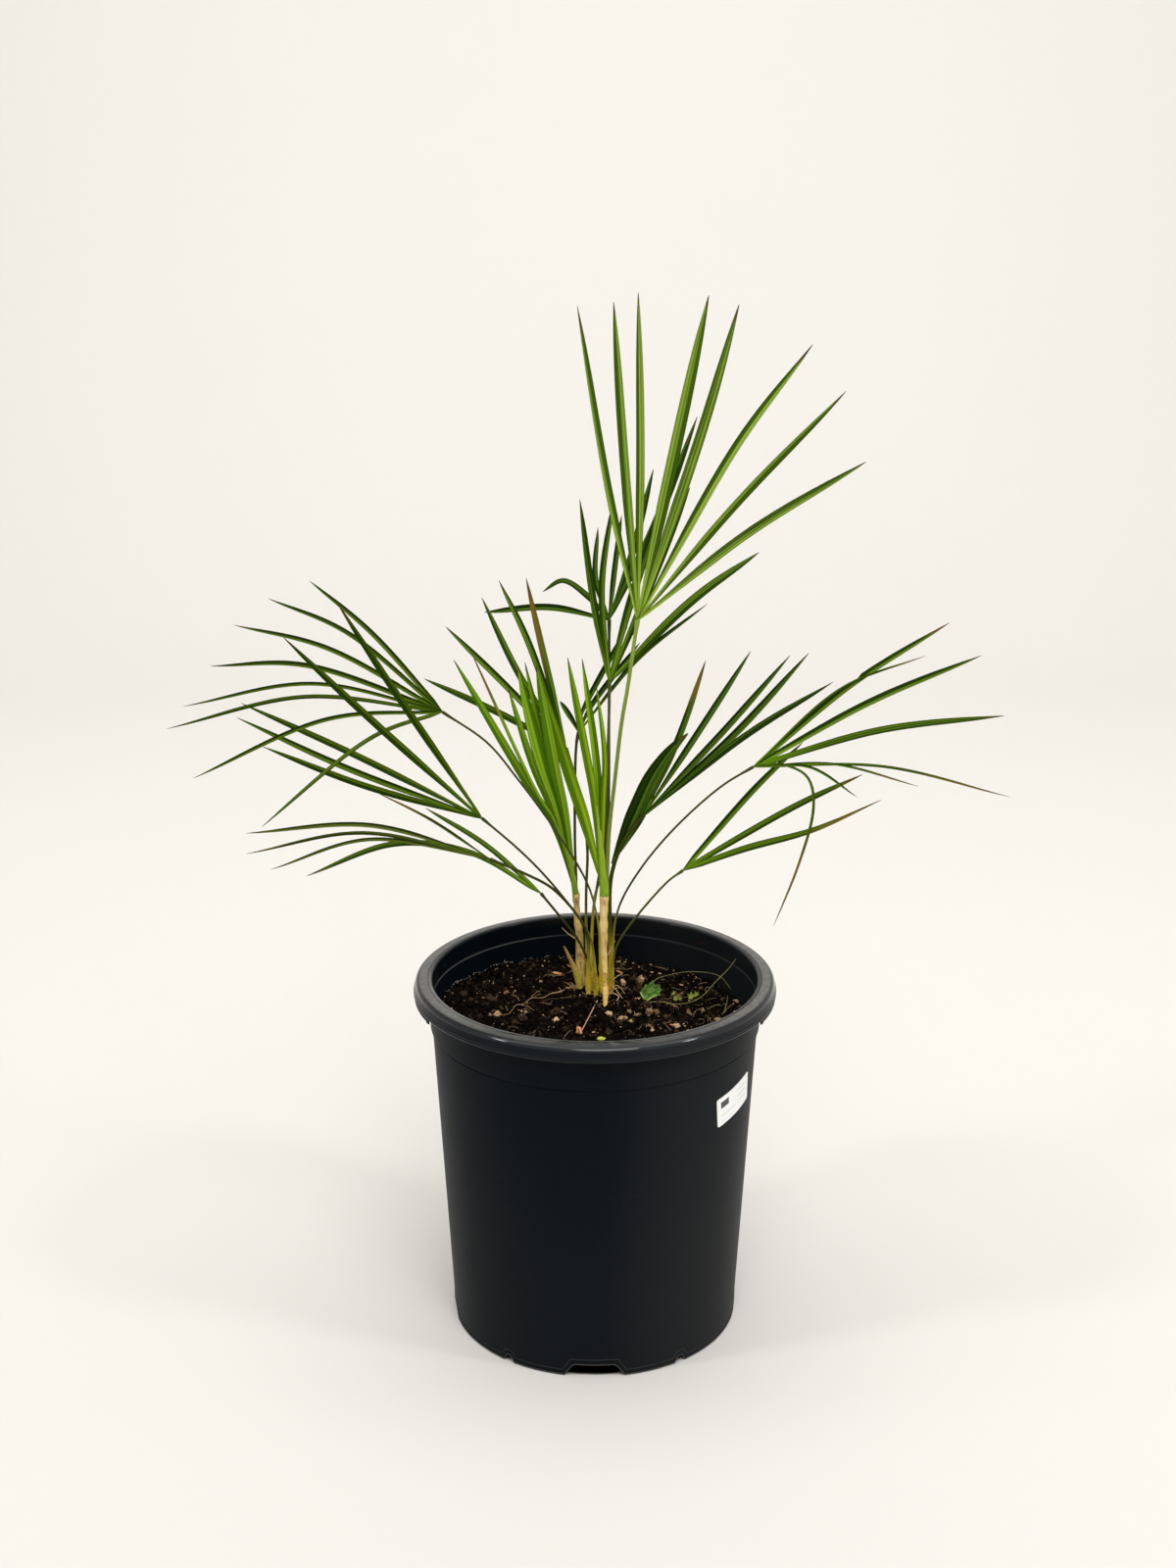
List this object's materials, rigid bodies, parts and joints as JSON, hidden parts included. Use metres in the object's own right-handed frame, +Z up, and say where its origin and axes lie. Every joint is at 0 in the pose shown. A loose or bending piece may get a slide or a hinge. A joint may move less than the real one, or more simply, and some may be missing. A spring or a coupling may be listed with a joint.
{
  "type": "potted thatch palm",
  "caption": "Young fan palm with two stems and spreading fronds of folded leaflets, standing in the soil of a round black growers' pot.",
  "frame": {"origin": "centre of the pot's flat underside, on its axis", "axes": "+Z up along the pot's axis, +X to the right and -Y to the front as in the picture"},
  "size_m": [0.6312, 0.3358, 0.798],
  "materials": {
    "pot_plastic": "satin moulded black plastic, slightly dusty",
    "label_paper": "blank white sticker",
    "peat": "moist peat with bark",
    "stem_brown": "fibrous old leaf sheaths",
    "stem_tan": "smooth pale tan sheath",
    "sheath_olive": "dry olive sheath",
    "twig_pale": "pale dry wood and root",
    "weed_green": "soft small leaf",
    "leaf_bright": "satin leaf, bright green",
    "leaf_lime": "satin young leaf, lime green",
    "leaf_green": "satin leaf, mid green with dry tips",
    "leaf_dark": "satin leaf, dark green with dry tips"
  },
  "bodies": {
    "root": {"pot": "pot_plastic", "pot_label": "label_paper", "soil": "peat", "stem_left": "stem_brown", "stem_right": "stem_tan", "shoot_left": "sheath_olive", "twig_left": "twig_pale", "twig_right": "twig_pale", "root_strand": "twig_pale", "soil_stick": "twig_pale", "weed_leaf": "weed_green", "weed_tendril": "sheath_olive", "frond_crown_front": "leaf_bright", "frond_crown_middle": "leaf_green", "frond_crown_back": "leaf_dark", "frond_left_back": "leaf_dark", "frond_left_upper": "leaf_green", "frond_left_wide": "leaf_green", "frond_left_middle": "leaf_green", "frond_left_low": "leaf_dark", "frond_left_short": "leaf_dark", "frond_right_pleated": "leaf_dark", "frond_right_wide": "leaf_green", "frond_right_low": "leaf_dark", "young_leaf_left": "leaf_green", "young_leaf_right": "leaf_lime"}
  },
  "joints": []
}
